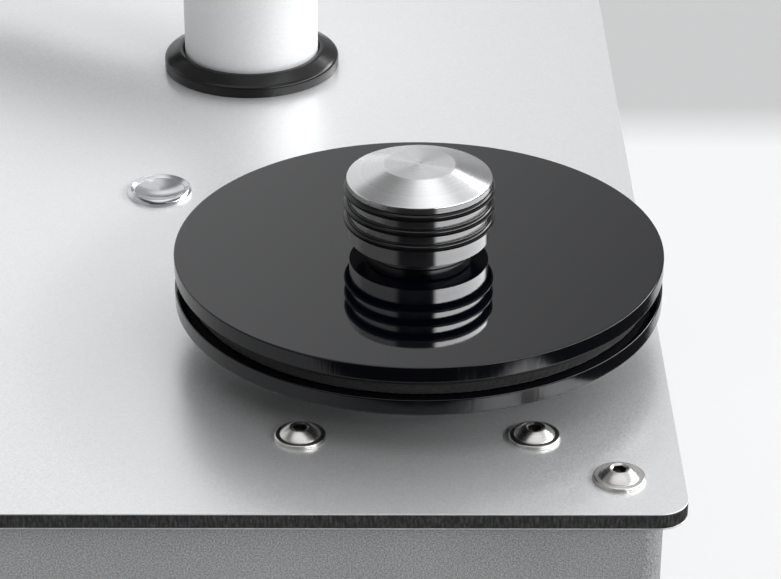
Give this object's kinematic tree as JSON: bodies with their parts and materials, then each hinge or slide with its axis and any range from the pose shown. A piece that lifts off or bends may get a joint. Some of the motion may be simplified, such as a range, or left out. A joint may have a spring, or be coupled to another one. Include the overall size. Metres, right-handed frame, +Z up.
{
  "type": "record cleaning machine",
  "caption": "Free-standing wet-wash and vacuum cleaner for vinyl records, with a label-sized platter, a screw clamp and a hollow swing arm.",
  "frame": {"origin": "on the surface that the feet stand on, under the middle of the machine's box", "axes": "+Z up, +Y towards the back with the mains inlet and drain cock, +X to the right, the platter's side"},
  "size_m": [0.24, 0.36, 0.1965],
  "materials": {
    "housing_coat": "fine-textured mid-grey powder coat",
    "rubber_black": "smooth, slightly glossy",
    "panel_silver": "fine metallic silver, satin",
    "panel_core": "sawn polyethylene core",
    "stainless": "bright, polished",
    "steel_plain": "plain machined",
    "plastic_grey": "moulded",
    "brass": "turned",
    "aluminium_turned": "satin, turned",
    "acrylic_black": "polished cast acrylic",
    "foam_black": "matt felt and fine-celled foam",
    "plastic_black": "moulded",
    "tank_white": "natural polyethylene",
    "circuit_green": "solder-masked board",
    "tube_clear": "clear vinyl tube"
  },
  "bodies": {
    "root": {"housing_shell": "housing_coat", "floor_plate": "housing_coat", "foot_front_left": "rubber_black", "foot_front_right": "rubber_black", "foot_rear_left": "rubber_black", "foot_rear_right": "rubber_black", "arm_gland": "rubber_black", "suction_hose": "rubber_black", "air_hose": "rubber_black", "turbine_cradle": "rubber_black", "top_panel_skin": "panel_silver", "top_panel_backing": "panel_silver", "top_panel_core": "panel_core", "panel_screw_front_left": "stainless", "panel_screw_front_right": "stainless", "panel_screw_rear_left": "stainless", "panel_screw_rear_right": "stainless", "drive_screw_front_left": "stainless", "drive_screw_front_right": "stainless", "drive_screw_rear_left": "stainless", "drive_screw_rear_right": "stainless", "vacuum_button_bezel": "stainless", "motor_button_bezel": "stainless", "drive_bracket": "steel_plain", "drive_motor": "steel_plain", "turbine_motor": "steel_plain", "gearbox": "plastic_grey", "bearing_bush": "brass", "drain_cock": "brass", "turbine_casing": "aluminium_turned", "suction_elbow": "plastic_black", "tank_lid": "plastic_black", "mains_inlet": "plastic_black", "fluid_tank": "tank_white", "power_board": "circuit_green", "level_tube": "tube_clear"},
    "platter": {"spindle": "steel_plain", "platter_hub": "aluminium_turned", "platter_disc": "acrylic_black", "platter_mat": "foam_black"},
    "clamp": {"clamp_seal": "foam_black", "clamp_disc": "acrylic_black", "clamp_collar": "steel_plain"},
    "knob": {"clamp_knob": "aluminium_turned", "grip_ring_1": "rubber_black", "grip_ring_2": "rubber_black", "grip_ring_3": "rubber_black", "thread_insert": "brass"},
    "swivel": {"swivel_sleeve": "plastic_black"},
    "arm": {"arm_column": "aluminium_turned", "column_cap": "aluminium_turned", "suction_beam": "panel_silver", "beam_plug": "plastic_black", "felt_strip_left": "foam_black", "felt_strip_right": "foam_black"},
    "vacuum_button_cap": {"vacuum_button": "stainless"},
    "motor_button_cap": {"motor_button": "stainless"},
    "mains_switch": {"mains_rocker": "plastic_black"},
    "drain_tap": {"drain_lever": "plastic_black"}
  },
  "joints": [
    {"name": "platter_spin", "type": "hinge", "parent": "root", "child": "platter", "pos_m": [0.06, -0.0965, 0.15], "axis": [0, 0, 1], "continuous": true},
    {"name": "clamp_rise", "type": "slide", "parent": "platter", "child": "clamp", "axis": [0, 0, 1], "range_m": [0, 0.007]},
    {"name": "knob_turn", "type": "hinge", "parent": "clamp", "child": "knob", "pos_m": [0.06, -0.0965, 0.177], "axis": [0, 0, 1], "range_deg": [0, 2010]},
    {"name": "arm_swing", "type": "hinge", "parent": "root", "child": "swivel", "pos_m": [0.0115, 0.0705, 0.15], "axis": [0, 0, 1], "range_deg": [0, 138.5]},
    {"name": "arm_lift", "type": "slide", "parent": "swivel", "child": "arm", "axis": [0, 0, 1], "range_m": [0, 0.012]},
    {"name": "vacuum_button_press", "type": "slide", "parent": "root", "child": "vacuum_button_cap", "axis": [0, 0, -1], "range_m": [0, 0.0015], "stiffness_N_per_m": 1500, "springref_m": -0.001},
    {"name": "motor_button_press", "type": "slide", "parent": "root", "child": "motor_button_cap", "axis": [0, 0, -1], "range_m": [0, 0.0015], "stiffness_N_per_m": 1500, "springref_m": -0.001},
    {"name": "mains_rocker_tilt", "type": "hinge", "parent": "root", "child": "mains_switch", "pos_m": [0.07, 0.15052, 0.085], "axis": [1, 0, 0], "range_deg": [-16, 0]},
    {"name": "drain_lever_turn", "type": "hinge", "parent": "root", "child": "drain_tap", "pos_m": [-0.058, 0.163, 0.044], "axis": [0, 0, 1], "range_deg": [-90, 0]}
  ],
  "couplings": [
    {"joint": "clamp_rise", "follows": "knob_turn", "m_per_rad": 0.00019894}
  ]
}
